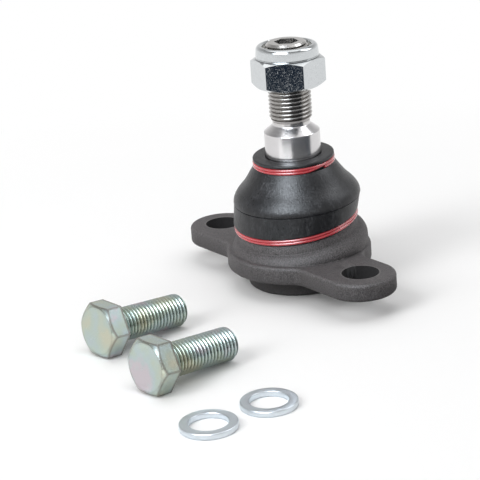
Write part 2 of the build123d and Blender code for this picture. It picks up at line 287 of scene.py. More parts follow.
# %% Ball stud
stud_low, stud_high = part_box("ball_stud")
nut_low, nut_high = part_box("lock_nut")
BALL_CENTRE = frame["record"]["behaviour"]["joints"][0]["pos_m"][2]
BALL_RADIUS = stud_high.x
NECK_RADIUS = 6.8 * MM
LAND_RADIUS = 10.2 * MM
PIN_RADIUS = 10.45 * MM
RELIEF_RADIUS = 7.0 * MM
STUD_THREAD_RADIUS = 8.0 * MM
STUD_PITCH = 1.5 * MM
EDGE_BREAK = 0.25 * MM
THREADED_LENGTH = 28.0 * MM
RUNOUT_LENGTH = 1.7 * MM
RELIEF_LENGTH = 1.2 * MM
RELIEF_ROUND = 0.5 * MM
CONE_LENGTH = 2.8 * MM
CONE_TILT = 51
PIN_LENGTH = 8.4 * MM
LAND_LENGTH = 7.4 * MM
NECK_HEIGHT = 17.0 * MM
JOIN_DEPTH = 0.4 * MM
JOIN_INSET = 0.05 * MM
END_CHAMFER_HEIGHT = 1.4 * MM
END_CHAMFER_DEPTH = 1.2 * MM
KEY_ACROSS_FLATS = 8.0 * MM
KEY_DEPTH = 6.0 * MM
KEY_FLAT_ANGLE = -45
stud_top = stud_high.z
thread_foot = stud_top - THREADED_LENGTH
relief_top = thread_foot - RUNOUT_LENGTH
relief_foot = relief_top - RELIEF_LENGTH
pin_top = relief_foot - CONE_LENGTH
pin_foot = pin_top - PIN_LENGTH
land_foot = pin_foot - LAND_LENGTH
ball_foot_angle = math.degrees(math.asin((stud_low.z - BALL_CENTRE) / BALL_RADIUS))
ball_head_angle = math.degrees(math.acos(NECK_RADIUS / BALL_RADIUS))
pin_edge = arc((PIN_RADIUS - EDGE_BREAK, pin_top - EDGE_BREAK), EDGE_BREAK, 0, CONE_TILT, 4)
relief_corner = arc((RELIEF_RADIUS + RELIEF_ROUND, relief_foot), RELIEF_ROUND, 180 + CONE_TILT, 180, 5)
shank_outline = [
    (0, stud_low.z),
    *arc((0, BALL_CENTRE), BALL_RADIUS, ball_foot_angle, ball_head_angle, 40),
    (NECK_RADIUS, BALL_CENTRE + NECK_HEIGHT),
    (LAND_RADIUS, land_foot),
    (LAND_RADIUS, pin_foot - EDGE_BREAK),
    (PIN_RADIUS, pin_foot),
    *pin_edge,
    *relief_corner,
    (RELIEF_RADIUS, relief_top),
    (0, relief_top),
]
ball_stud = turn("turned_ball_stud", shank_outline)
end_blank = turn("stud_end_blank", [
    (0, relief_top - JOIN_DEPTH),
    (RELIEF_RADIUS - JOIN_INSET, relief_top - JOIN_DEPTH),
    (RELIEF_RADIUS - JOIN_INSET, relief_top),
    (STUD_THREAD_RADIUS + BLANK_MARGIN, thread_foot + BLANK_MARGIN),
    (STUD_THREAD_RADIUS + BLANK_MARGIN, stud_top - END_CHAMFER_HEIGHT),
    (STUD_THREAD_RADIUS - END_CHAMFER_DEPTH, stud_top),
    (0, stud_top),
])
stud_thread = wind_thread("stud_thread", STUD_THREAD_RADIUS, STUD_PITCH,
                          foot=relief_top - 3 * MM, top=stud_top + THREAD_OVERRUN)
combine(stud_thread, end_blank, "INTERSECT")
combine(ball_stud, stud_thread, "UNION")
key_socket = hexagon("key_socket", KEY_ACROSS_FLATS, stud_top - KEY_DEPTH, stud_top + THREAD_OVERRUN,
                     KEY_FLAT_ANGLE)
combine(ball_stud, key_socket, "DIFFERENCE")
soften(ball_stud, THREAD_SMOOTHING)
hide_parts("ball_stud")
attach(ball_stud, "stud")

# %% [markdown]
# The lock nut is hexagon bar with a round collar rolled over a nylon ring. A hexagon prism is intersected
# with a turned blank, which gives the curved chamfers at the corners, and then bored. The flats face the
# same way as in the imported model.

# %% Lock nut
NUT_ACROSS_FLATS = 24.0 * MM
NUT_FLAT_ANGLE = -45
NUT_HEX_HEIGHT = 11.0 * MM
COLLAR_RADIUS = 11.75 * MM
NUT_BORE = 8.05 * MM
MOUTH_RADIUS = 9.15 * MM
MOUTH_CHAMFER = 0.4 * MM
MOUTH_FLARE = 0.6 * MM
FACE_INSET = 0.7 * MM
COLLAR_INSET = 0.15 * MM
COLLAR_ROLL = 1.5 * MM
HEX_CHAMFER = math.radians(30)
NUT_SMOOTHING = 22
nut_foot, nut_top = nut_low.z, nut_high.z
nut_corner = NUT_ACROSS_FLATS / math.sqrt(3) + HEX_MARGIN
hex_top = nut_foot + NUT_HEX_HEIGHT
chamfer_slope = math.tan(HEX_CHAMFER)
face_radius = NUT_ACROSS_FLATS / 2 - FACE_INSET
collar_foot = arc((COLLAR_RADIUS + 0.25 * MM, hex_top + 0.3 * MM), 0.4 * MM, 215, 130, 6)
collar_roll = arc((COLLAR_RADIUS - 1.75 * MM, nut_top - COLLAR_ROLL), COLLAR_ROLL, 6, 90, 14)
lock_nut = hexagon("plated_lock_nut", NUT_ACROSS_FLATS, nut_foot - MM, nut_top + MM, NUT_FLAT_ANGLE)
nut_blank = turn("nut_blank", [
    (0, nut_foot),
    (face_radius, nut_foot),
    (nut_corner, nut_foot + (nut_corner - face_radius) * chamfer_slope),
    (nut_corner, hex_top - (nut_corner - COLLAR_RADIUS) * chamfer_slope),
    (COLLAR_RADIUS - COLLAR_INSET, hex_top),
    *collar_foot,
    *collar_roll,
    (0, nut_top),
], HEX_TURN_STEPS)
combine(lock_nut, nut_blank, "INTERSECT")
insert_low, insert_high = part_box("nut_insert")
nut_hole = turn("nut_hole", [
    (0, nut_foot - MM),
    (NUT_BORE + 2 * MM, nut_foot - MM),
    (NUT_BORE, nut_foot + MM),
    (NUT_BORE, insert_low.z),
    (insert_high.x, insert_low.z),
    (insert_high.x, insert_high.z),
    (MOUTH_RADIUS, insert_high.z),
    (MOUTH_RADIUS, nut_top - MOUTH_CHAMFER),
    (MOUTH_RADIUS + MOUTH_FLARE, nut_top + BLANK_MARGIN),
    (0, nut_top + BLANK_MARGIN),
])
combine(lock_nut, nut_hole, "DIFFERENCE")
soften(lock_nut, NUT_SMOOTHING)
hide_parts("lock_nut")
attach(lock_nut, "nut")

# %% [markdown]
# The nylon ring fills the collar. Only its upper face shows, between the collar and the stud, so it is a
# turned ring with rounded edges.

# %% Nylon ring
NYLON_ROUND = 0.3 * MM
NYLON_PLAY = 0.02 * MM
NYLON_SMOOTHING = 30
nylon_bore, nylon_rim = NUT_BORE, insert_high.x - NYLON_PLAY
nylon_foot, nylon_top = insert_low.z + NYLON_PLAY, insert_high.z - NYLON_PLAY
nylon_ring = turn("nylon_ring", [
    (nylon_bore, nylon_foot),
    (nylon_rim, nylon_foot),
    (nylon_rim, nylon_top),
    (nylon_bore + NYLON_ROUND, nylon_top),
    *arc((nylon_bore + NYLON_ROUND, nylon_top - NYLON_ROUND), NYLON_ROUND, 90, 180, 6),
    (nylon_bore, nylon_foot),
])
soften(nylon_ring, NYLON_SMOOTHING)
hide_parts("nut_insert")
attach(nylon_ring, "nut")

# %% [markdown]
# The dust boot is a rubber bell that follows the stud's swing. Its foot sits on the leaning mouth of the
# socket and its lip on the upright stud, so it is turned upright first, and each ring of it is then leaned
# by its share. It is made in two halves that meet inside its shoulder, because a piece can bend across one
# joint only.

# %% Dust boot
MOUTH_LEAN = math.radians(7)
CREASE_LEAN = 0.42 * MOUTH_LEAN
LIP_LEAN = 0.3 * MOUTH_LEAN
CREASE_SHIFT = 0.48 * MM
FACE_GAP = 0.2 * MM
BOOT_WALL = 2.1 * MM
BOOT_HEIGHT = 26.7 * MM
BEAD_BORE = 20.7 * MM
BEAD_HEIGHT = 3.05 * MM
GROOVE_HEIGHT = 2.35 * MM
BOOT_FOOT_HEIGHT = 0.5 * MM
SKIRT_RADIUS = 23.75 * MM
CREASE_RADIUS = 24.0 * MM
LIP_RADIUS = 15.3 * MM
LIP_HEIGHT = 1.3 * MM
LIP_BORE = 10.35 * MM
CREASE_RISE = 9.8 * MM
BEAD_WALL = 1.75 * MM
UPPER_GROOVE_DEPTH = 1.0 * MM
SHOULDER_INSET = 3.5 * MM
SHOULDER_RISE = 6.0 * MM
THROAT_INSET = 0.1 * MM
THROAT_DROP = 1.35 * MM
FOOT_ROUND = 0.2 * MM
SKIRT_ROUND = 0.6 * MM
SKIRT_FLARE = 0.1 * MM
CREASE_ROUND = 0.3 * MM
LIP_ROUND = 0.5 * MM
LIP_FOOT_ROUND = 0.3 * MM
BORE_ROUND = 0.7 * MM
SKIRT_RINGS = 12
WALL_RINGS = 8
boot_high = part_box("dust_boot")[1]
lip_top = pin_foot - FACE_GAP - LIP_RADIUS * math.sin(LIP_LEAN)
boot_foot = lip_top - BOOT_HEIGHT
bead_top = boot_foot + BEAD_HEIGHT
crease_height = boot_foot + CREASE_RISE
lower_groove_radius = BEAD_BORE + BEAD_WALL
lower_groove_foot = boot_foot + BOOT_FOOT_HEIGHT
lower_groove_top = lower_groove_foot + GROOVE_HEIGHT
upper_groove_top = lip_top - LIP_HEIGHT
upper_groove_foot = upper_groove_top - GROOVE_HEIGHT
upper_groove_radius = LIP_RADIUS - UPPER_GROOVE_DEPTH
lip_middle = (upper_groove_foot + upper_groove_top) / 2
shoulder = (CREASE_RADIUS - SHOULDER_INSET, crease_height + SHOULDER_RISE)
throat = (LIP_RADIUS - THROAT_INSET, upper_groove_foot)
shoulder_slope = Vector((-0.695, 0.719))
throat_slope = Vector((-0.643, 0.766))


def rubber_curve(start, start_pull, end, end_pull, count):
    """A smooth stretch of the boot's outline between two points, shaped by two pulls."""
    first, last = Vector((*start, 0)), Vector((*end, 0))
    pulled = first + Vector((*start_pull, 0)), last - Vector((*end_pull, 0))
    return [(p.x, p.y) for p in interpolate_bezier(first, *pulled, last, count)]


def inside(point, drop=0.0):
    """The point of the inner wall that belongs to a point of the outer one."""
    return (point[0] - BOOT_WALL, point[1] - drop)


def leaned(angle, pivot):
    """The turn about a point of the stud's axis that leans the axis over."""
    middle = Matrix.Translation((0, 0, pivot))
    return middle @ Matrix.Rotation(angle, 4, "X") @ middle.inverted()


mouth_turn, lip_turn = leaned(MOUTH_LEAN, BALL_CENTRE), leaned(LIP_LEAN, lip_middle)
lean_stations = [
    (lower_groove_top, MOUTH_LEAN, mouth_turn @ Vector((0, 0, lower_groove_top))),
    (crease_height, CREASE_LEAN, Vector((0, CREASE_SHIFT, crease_height))),
    (upper_groove_foot, LIP_LEAN, lip_turn @ Vector((0, 0, upper_groove_foot))),
]


def bell_ring(height):
    """The lean and the middle of the bell's ring at a height of the upright outline."""
    below, above = lean_stations[:2] if height < crease_height else lean_stations[1:]
    rise = (height - below[0]) / (above[0] - below[0])
    return below[1] + (above[1] - below[1]) * rise, below[2].lerp(above[2], rise)


def lean_rings(piece):
    """Lean every ring of the boot: the bead with the mouth, the lip by itself, the bell in between."""
    for vertex in piece.data.vertices:
        height = vertex.co.z
        if height <= lower_groove_top:
            vertex.co = mouth_turn @ vertex.co
        elif height >= upper_groove_foot:
            vertex.co = lip_turn @ vertex.co
        else:
            lean, middle = bell_ring(height)
            across = Vector((vertex.co.x, vertex.co.y * math.cos(lean), vertex.co.y * math.sin(lean)))
            vertex.co = middle + across


inner_shoulder = inside(shoulder, BOOT_WALL / 2)
inner_crease = inside((SKIRT_RADIUS, crease_height))
inner_throat = inside(throat, THROAT_DROP)
lower_swell = rubber_curve(
    (CREASE_RADIUS, crease_height), (0, 2.5 * MM), shoulder, shoulder_slope * 2.3 * MM, 26)
lower_inner = rubber_curve(
    inner_shoulder, -shoulder_slope * 2.0 * MM, inner_crease, (0, -2.2 * MM), 22)
upper_swell = rubber_curve(
    shoulder, shoulder_slope * 3.0 * MM, throat, throat_slope * 3.0 * MM, 30)
upper_inner = rubber_curve(
    inner_throat, -throat_slope * 2.7 * MM, inner_shoulder, -shoulder_slope * 2.7 * MM, 24)
skirt_foot, skirt_top = lower_groove_top + SKIRT_ROUND, crease_height - CREASE_ROUND
skirt_side = [
    (SKIRT_RADIUS + SKIRT_FLARE * i / SKIRT_RINGS, skirt_foot + (skirt_top - skirt_foot) * i / SKIRT_RINGS)
    for i in range(1, SKIRT_RINGS + 1)]
inner_wall = [
    (inner_crease[0], crease_height + (bead_top - crease_height) * i / WALL_RINGS)
    for i in range(1, WALL_RINGS + 1)]
boot_lower = turn("boot_lower_half", [
    (BEAD_BORE, boot_foot),
    (lower_groove_radius + 0.1 * MM, boot_foot),
    *arc((lower_groove_radius + 0.1 * MM, boot_foot + FOOT_ROUND), FOOT_ROUND, -90, 0, 4),
    (lower_groove_radius + 0.3 * MM, lower_groove_foot),
    (lower_groove_radius, lower_groove_foot),
    (lower_groove_radius, lower_groove_top),
    (SKIRT_RADIUS - SKIRT_ROUND, lower_groove_top),
    *arc((SKIRT_RADIUS - SKIRT_ROUND, skirt_foot), SKIRT_ROUND, -90, 0, 6),
    *skirt_side,
    (SKIRT_RADIUS - 0.25 * MM, crease_height - 0.12 * MM),
    *arc((CREASE_RADIUS - CREASE_ROUND, crease_height + 0.2 * MM), CREASE_ROUND, -75, 0, 5),
    *lower_swell[2:],
    *lower_inner,
    *inner_wall,
    (BEAD_BORE, bead_top),
    (BEAD_BORE, boot_foot),
])
boot_upper = turn("boot_upper_half", [
    *upper_swell,
    (upper_groove_radius, upper_groove_foot),
    (upper_groove_radius, upper_groove_top),
    (LIP_RADIUS - LIP_FOOT_ROUND, upper_groove_top),
    *arc((LIP_RADIUS - LIP_FOOT_ROUND, upper_groove_top + LIP_FOOT_ROUND), LIP_FOOT_ROUND, -90, 0, 4),
    *arc((LIP_RADIUS - LIP_ROUND, lip_top - LIP_ROUND), LIP_ROUND, 0, 90, 6),
    (LIP_BORE + 1.2 * MM, lip_top),
    *arc((LIP_BORE + BORE_ROUND, lip_top - BORE_ROUND), BORE_ROUND, 90, 180, 6),
    (LIP_BORE, inner_throat[1]),
    *upper_inner,
    shoulder,
])
for half in (boot_lower, boot_upper):
    lean_rings(half)
    soften(half, TURNED_SMOOTHING)
    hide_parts("dust_boot")
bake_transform(boot_lower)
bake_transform(boot_upper)

# %% [markdown]
# Each clamp ring is red coated wire, wound twice round the rubber, with both ends cut off square. A curve
# follows the wire: it runs level for a turn, climbs by one pitch, and runs level again. Its round bevel
# makes the wire, and it is converted to a mesh. Each ring leans as its seat does.

# %% Clamp rings
WIRE_RADIUS = 0.575 * MM
WIRE_PITCH = 1.1 * MM
WIRE_POINTS = 240
WIRE_SIDES = 5
WIRE_SMOOTHING = 40
WOUND_DEGREES = 712
END_GAP_DEGREES = 4
CLIMB_DEGREES = 34


def wind_ring(name, node, end_angle, body, lean, pivot):
    """Two turns of wire in the place of a packed ring, with the ends at an angle in plan."""
    low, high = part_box(node)
    radius = high.x - WIRE_RADIUS
    middle = pivot + ((low.z + high.z) / 2 - pivot) / math.cos(lean)
    bpy.ops.curve.primitive_nurbs_path_add(location=(0, 0, 0))
    piece = name_new(name)
    spline = piece.data.splines[0]
    spline.points.add(WIRE_POINTS + 1 - len(spline.points))
    spline.order_u = 4
    spline.use_endpoint_u = True
    for i, point in enumerate(spline.points):
        turned = WOUND_DEGREES * i / WIRE_POINTS
        climb = min(max((turned - 360 + CLIMB_DEGREES) / CLIMB_DEGREES, 0), 1)
        climb = climb * climb * (3 - 2 * climb)
        angle = math.radians(end_angle + END_GAP_DEGREES + turned)
        height = middle + WIRE_PITCH * (climb - 0.5)
        point.co = (radius * math.cos(angle), radius * math.sin(angle), height, 1)
    piece.data.bevel_depth = WIRE_RADIUS
    piece.data.bevel_resolution = WIRE_SIDES
    piece.data.use_fill_caps = True
    bpy.ops.object.convert(target="MESH")
    piece = bpy.context.object
    bpy.ops.object.mode_set(mode="EDIT")
    close_mesh()
    piece.matrix_world = leaned(lean, pivot)
    settle()
    soften(piece, WIRE_SMOOTHING)
    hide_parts(node)
    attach(piece, body)
    return piece


lower_ring = wind_ring("lower_wire_ring", "lower_clamp_ring", 200, "socket", MOUTH_LEAN, BALL_CENTRE)
upper_ring = wind_ring("upper_wire_ring", "upper_clamp_ring", 6, "boot_lip", LIP_LEAN, lip_middle)

# %% [markdown]
# The two flange bolts are the same, so one is modelled upright and copied. Its head is a hexagon cut by a
# turned blank, as on the nut, with a thin bearing face under it, and it is threaded right up to the head.
# An attribute marks the head, so that its edges can be darkened apart from the thread. Each copy is then
# laid
# down: it rests on one flat of its head and on the rim of its tip.

# %% Flange bolts
BOLT_RADIUS = 6.0 * MM
BOLT_PITCH = 1.5 * MM
BOLT_LENGTH = 30.0 * MM
BOLT_ACROSS_FLATS = 18.0 * MM
BOLT_HEAD = 7.5 * MM
BEARING_HEIGHT = 0.6 * MM
BOLT_HEADINGS = [math.radians(94.4), math.radians(95.2)]
BOLT_TIP_CHAMFER = 1.1 * MM
BOLT_PLACES = [(5.6 * MM, -89.7 * MM), (44.3 * MM, -96.2 * MM)]
BOLT_FACE_INSET = 0.5 * MM
BEARING_INSET = 0.6 * MM
THREAD_ROOTING = 0.5 * MM
BOLT_FLAT_ANGLE = 30
bolt_corner = BOLT_ACROSS_FLATS / math.sqrt(3) + HEX_MARGIN
bolt_face = BOLT_ACROSS_FLATS / 2 - BOLT_FACE_INSET
bearing_radius = BOLT_ACROSS_FLATS / 2 - BEARING_INSET
bolt_reach = BOLT_LENGTH - BOLT_TIP_CHAMFER + BEARING_HEIGHT
bolt_dip = math.atan2(BOLT_ACROSS_FLATS / 2 - BOLT_RADIUS, bolt_reach)
bolt_height = BOLT_ACROSS_FLATS / 2 * math.cos(bolt_dip) - BEARING_HEIGHT * math.sin(bolt_dip)

bolt = hexagon("flange_bolt_1", BOLT_ACROSS_FLATS, -BOLT_HEAD - MM, MM, BOLT_FLAT_ANGLE)
bolt_blank = turn("bolt_blank", [
    (0, -BOLT_HEAD),
    (bolt_face, -BOLT_HEAD),
    (bolt_corner, -BOLT_HEAD + (bolt_corner - bolt_face) * chamfer_slope),
    (bolt_corner, -BEARING_HEIGHT),
    (bearing_radius, -BEARING_HEIGHT),
    (bearing_radius, 0),
    (0, 0),
], HEX_TURN_STEPS)
combine(bolt, bolt_blank, "INTERSECT")
tip_radius = BOLT_RADIUS - BOLT_TIP_CHAMFER
shank_blank = turn("bolt_shank_blank", [
    (0, -MM),
    (BOLT_RADIUS + BLANK_MARGIN, -MM),
    (BOLT_RADIUS + BLANK_MARGIN, BOLT_LENGTH - BOLT_TIP_CHAMFER - BLANK_MARGIN),
    (tip_radius, BOLT_LENGTH),
    (0, BOLT_LENGTH),
])
bolt_thread = wind_thread("bolt_thread", BOLT_RADIUS, BOLT_PITCH,
                          foot=-THREAD_ROOTING, top=BOLT_LENGTH + THREAD_OVERRUN)
combine(bolt_thread, shank_blank, "INTERSECT")
combine(bolt, bolt_thread, "UNION")
soften(bolt, THREAD_SMOOTHING)
head_share = bolt.data.attributes.new("head_share", "FLOAT", "POINT")
head_share.data.foreach_set("value", [float(vertex.co.z < 0) for vertex in bolt.data.vertices])

pick(bolt)
bpy.ops.object.duplicate(linked=False)
second_bolt = name_new("flange_bolt_2")
laid_bolts = zip((1, 2), (bolt, second_bolt), BOLT_PLACES, BOLT_HEADINGS)
for number, piece, place, heading in laid_bolts:
    across = Vector((-math.sin(heading), math.cos(heading), 0))
    along = Vector((
        math.cos(bolt_dip) * math.cos(heading),
        math.cos(bolt_dip) * math.sin(heading),
        -math.sin(bolt_dip),
    ))
    bolt_turn = Matrix((across, along.cross(across), along)).transposed().to_4x4()
    pick(piece)
    piece.matrix_world = Matrix.Translation((*place, bolt_height)) @ bolt_turn
    settle()
    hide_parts(f"mounting_bolt_{number}")
    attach(piece, f"loose_bolt_{number}")

# %% [markdown]
# A washer is stamped from sheet: its upper edges are drawn round by the punch, and its lower edges stay
# crisp. Each is turned from one outline and moved to its place on the table.

# %% Washers
WASHER_BORE = 6.5 * MM
PUNCH_ROUND = 0.45 * MM
BORE_PUNCH_ROUND = 0.3 * MM
CRISP_EDGE = 0.15 * MM
washers = []
for number in (1, 2):
    low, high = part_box(f"washer_{number}")
    rim, top = min(high.x - low.x, high.y - low.y) / 2, high.z
    piece = turn(f"flat_washer_{number}", [
        (WASHER_BORE, low.z + CRISP_EDGE),
        (WASHER_BORE + CRISP_EDGE, low.z),
        (rim - CRISP_EDGE, low.z),
        (rim, low.z + CRISP_EDGE),
        *arc((rim - PUNCH_ROUND, top - PUNCH_ROUND), PUNCH_ROUND, 0, 90, 6),
        *arc((WASHER_BORE + BORE_PUNCH_ROUND, top - BORE_PUNCH_ROUND), BORE_PUNCH_ROUND, 90, 180, 5),
        (WASHER_BORE, low.z + CRISP_EDGE),
    ])
    piece.location = ((low.x + high.x) / 2, (low.y + high.y) / 2, 0)
    settle()
    soften(piece, TURNED_SMOOTHING)
    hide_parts(f"washer_{number}")
    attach(piece, f"loose_washer_{number}")
    washers.append(piece)

# %% [markdown]
# The finishes are built from shader nodes, and short helpers keep that readable. Each adds one kind of
# node, gives it plain values or links from other nodes, and hands back the output for the next step.

# %% Shader helpers
def supply(socket, value):
    """Give an input a link from another node, a colour or a plain value."""
    if isinstance(value, bpy.types.NodeSocket):
        socket.id_data.links.new(value, socket)
    else:
        socket.default_value = (*value, 1) if isinstance(value, tuple) else value


def feed(made, **values):
    """Supply inputs of a node by name, with an underscore for each space."""
    for key, value in values.items():
        supply(made.inputs[key.replace("_", " ")], value)
    return made


def node(tree, kind, **values):
    """Add a shader node and supply its inputs."""
    return feed(tree.nodes.new(kind), **values)


def calculate(tree, operation, *values, kind="ShaderNodeMath", output="Value"):
    """Put values through a Math or Vector Math node."""
    made = tree.nodes.new(kind)
    made.operation = operation
    for socket, value in zip(made.inputs, values):
        supply(socket, value)
    return made.outputs[output]


def axes(vector):
    """The X, Y and Z of a vector."""
    return node(vector.id_data, "ShaderNodeSeparateXYZ", Vector=vector).outputs


def object_place(tree):
    """The place of a point of the surface, in its object's axes."""
    return tree.nodes.new("ShaderNodeTexCoord").outputs["Object"]


def ramp(source, stops):
    """A colour ramp over a value, from (place, colour) pairs."""
    made = node(source.id_data, "ShaderNodeValToRGB", Fac=source)
    elements = made.color_ramp.elements
    while len(elements) < len(stops):
        elements.new(0.5)
    for element, (place, colour) in zip(elements, stops):
        element.position = place
        element.color = (*colour, 1)
    return made.outputs["Color"]


def spread(source, low, high, from_low=0.3, from_high=0.7):
    """Map a value to a range, such as a noise to a roughness."""
    made = node(source.id_data, "ShaderNodeMapRange", Value=source,
                From_Min=from_low, From_Max=from_high, To_Min=low, To_Max=high)
    return made.outputs["Result"]


def bump(height, strength, distance):
    """A normal that follows small heights of the surface."""
    made = node(height.id_data, "ShaderNodeBump", Height=height, Strength=strength, Distance=distance)
    return made.outputs["Normal"]


def mix(factor, first, second):
    """Mix two colours by a mask."""
    made = factor.id_data.nodes.new("ShaderNodeMix")
    made.data_type = "RGBA"
    sockets = (made.inputs["Factor"], made.inputs[6], made.inputs[7])
    for socket, value in zip(sockets, (factor, first, second)):
        supply(socket, value)
    return made.outputs[2]


def new_group(name, inputs, outputs):
    """A node group with its sockets, and the nodes where values enter and leave it."""
    group = bpy.data.node_groups.new(name, "ShaderNodeTree")
    for socket, value in inputs.items():
        made = group.interface.new_socket(socket, in_out="INPUT", socket_type="NodeSocketFloat")
        made.default_value = value
    for socket in outputs:
        group.interface.new_socket(socket, in_out="OUTPUT", socket_type="NodeSocketFloat")
    return group, group.nodes.new("NodeGroupInput"), group.nodes.new("NodeGroupOutput")


def place_group(tree, group, **values):
    """Place a node group in a material with its own values, and hand back its outputs."""
    made = tree.nodes.new("ShaderNodeGroup")
    made.node_tree = group
    return feed(made, **values).outputs


def dress(material, *pieces):
    """Give pieces a material."""
    for piece in pieces:
        piece.data.materials.clear()
        piece.data.materials.append(material)
    print(material.name, "on", len(pieces), "pieces")


# %% [markdown]
# Every finish here is uneven at two scales: a broad mottle, such as oil, dust or a plating bath leaves, and
# a fine grain. One node group gives both, and each material sets its own sizes for them.

# %% Mottle and grain group
scales = {"Mottle Scale": 120.0, "Grain Scale": 1500.0, "Upright Stretch": 1.0}
grain_group, entry, leave = new_group("mottle_and_grain", scales, ("Mottle", "Grain"))
stretch = node(grain_group, "ShaderNodeCombineXYZ", X=1.0, Y=1.0, Z=entry.outputs["Upright Stretch"])
mapping = node(grain_group, "ShaderNodeMapping", Vector=object_place(grain_group),
               Scale=stretch.outputs["Vector"])
for name, detail, rough in (("Mottle", 4.0, 0.6), ("Grain", 3.0, 0.55)):
    noise = node(grain_group, "ShaderNodeTexNoise", Detail=detail, Roughness=rough,
                 Vector=mapping.outputs["Vector"], Scale=entry.outputs[name + " Scale"])
    supply(leave.inputs[name], noise.outputs["Fac"])


def start_material(name, mottle_scale, grain_scale, upright_stretch=1.0):
    """A material with a Principled shader and the mottle and grain group in it."""
    material = bpy.data.materials.new(name)
    material.use_nodes = True
    tree = material.node_tree
    grain = place_group(tree, grain_group, Mottle_Scale=mottle_scale, Grain_Scale=grain_scale,
                        Upright_Stretch=upright_stretch)
    return material, tree, tree.nodes["Principled BSDF"], grain


# %% [markdown]
# Two masks come from occlusion: rays that stay inside the metal are stopped early only near an outer edge,
# and rays that leave it are stopped only in a corner. The first marks the outer edges, and the second is
# painted shade for the corners. One group gives both masks.

# %% Edge and shade group
OCCLUSION_RAYS = 8
reaches = {"Edge Reach": 1.0 * MM, "Grime Reach": 5.0 * MM}
edge_and_shade_group, entry, leave = new_group("edge_wear_and_grime", reaches, ("Edge", "Grime"))
# The second mask finds corners, where the finishes paint shade.
for name, within in (("Edge", True), ("Grime", False)):
    hidden = node(edge_and_shade_group, "ShaderNodeAmbientOcclusion", Distance=entry.outputs[name + " Reach"])
    hidden.inside, hidden.only_local, hidden.samples = within, True, OCCLUSION_RAYS
    supply(leave.inputs[name], calculate(edge_and_shade_group, "SUBTRACT", 1.0, hidden.outputs["AO"]))


def add_edge_and_shade_masks(tree, edge_reach, shade_reach):
    """The edge mask, and the corner mask for painted shade, for one material."""
    return place_group(tree, edge_and_shade_group, Edge_Reach=edge_reach, Grime_Reach=shade_reach)


# %% [markdown]
# The forging is dark phosphated steel: a warm grey with a grain like fine sandpaper. Its edges are paler,
# from wear and a painted highlight, and shade is painted into its corners and towards the ground. Its lug
# holes are drilled and dull, and painted shade makes them darker. A mask finds them: it measures how far a
# point is from the axis of the nearest hole, and both holes are done at once by taking the size of X.

# %% Forged housing finish
HOLE_PLACE = Vector((41.0, -5.0, 0)) * MM
HOLE_RADIUS = 6.75 * MM
HOLE_FADE = (HOLE_RADIUS + 0.05 * MM, HOLE_RADIUS + 0.3 * MM)
GROUND_SHADE_SPAN = (5.0 * MM, 14.2 * MM)
EDGE_WEAR_AND_HIGHLIGHT = (0.24, 0.225, 0.22)
PAINTED_SHADE = (0.016, 0.0145, 0.015)
DRILLED_HOLE_SHADE = (0.014, 0.0125, 0.013)


def forged_finish(name, dark, pale):
    """Speckled steel: edges pale from wear and a painted highlight; painted shade low down, in corners and
    holes.
    """
    material, tree, shader, grain = start_material(name, 420.0, 2500.0, 0.7)
    speckle = mix(spread(grain["Grain"], 0.0, 1.0, 0.33, 0.69), dark, pale)
    body = mix(spread(grain["Mottle"], 0.0, 0.2), speckle, dark)
    edges_and_shade = add_edge_and_shade_masks(tree, 1.2 * MM, 3.0 * MM)
    # The outer edges are paler: partly wear, partly a painted highlight.
    body = mix(spread(edges_and_shade["Edge"], 0.0, 0.55, 0.12, 0.40), body, EDGE_WEAR_AND_HIGHLIGHT)
    # Shade is painted into the corners.
    body = mix(spread(edges_and_shade["Grime"], 0.0, 0.7, 0.1, 0.6), body, PAINTED_SHADE)
    place = axes(object_place(tree))
    # Shade is painted in towards the ground, darker lower down.
    body = mix(spread(place["Z"], 0.75, 0.0, *GROUND_SHADE_SPAN), body, PAINTED_SHADE)
    side = calculate(tree, "ABSOLUTE", place["X"])
    plan = node(tree, "ShaderNodeCombineXYZ", X=side, Y=place["Y"]).outputs["Vector"]
    reach = calculate(tree, "DISTANCE", plan, HOLE_PLACE, kind="ShaderNodeVectorMath")
    # The lug holes get painted shade in their colour, and a duller roughness.
    hole_shade_and_dull = spread(reach, 1.0, 0.0, *HOLE_FADE)
    sheen = spread(grain["Grain"], 0.46, 0.70)
    feed(shader,
         Base_Color=mix(hole_shade_and_dull, body, DRILLED_HOLE_SHADE),
         Roughness=calculate(tree, "MAXIMUM", sheen, hole_shade_and_dull),
         Specular_IOR_Level=0.35,
         Normal=bump(grain["Grain"], 0.7, 0.25 * MM))
    return material


dress(forged_finish("forged_housing_finish", (0.033, 0.030, 0.031), (0.150, 0.139, 0.142)), housing)
dress(forged_finish("closing_plate_finish", (0.050, 0.048, 0.049), (0.125, 0.120, 0.122)), closing_plate)

# %% [markdown]
# The boot is charcoal rubber with a soft sheen. Handling leaves paler dusty patches on it, drawn out
# downwards, so the mottle is stretched along the upright. Inside a patch the dust lies in fine specks, so
# the patch and the grain are multiplied, and the grain breaks up the sheen as well.

# %% Rubber finish
rubber, tree, shader, grain = start_material("boot_rubber_finish", 260.0, 1800.0, 0.4)
patches = spread(grain["Mottle"], 0.0, 1.0, 0.44, 0.72)
specks = spread(grain["Grain"], 0.15, 1.0, 0.46, 0.68)
dust = calculate(tree, "MULTIPLY", patches, specks)
feed(shader,
     Base_Color=mix(dust, (0.0065, 0.0068, 0.0085), (0.060, 0.061, 0.068)),
     Roughness=spread(grain["Grain"], 0.27, 0.50),
     Specular_IOR_Level=0.45,
     Normal=bump(grain["Grain"], 0.6, 0.14 * MM))
dress(rubber, boot_lower, boot_upper)
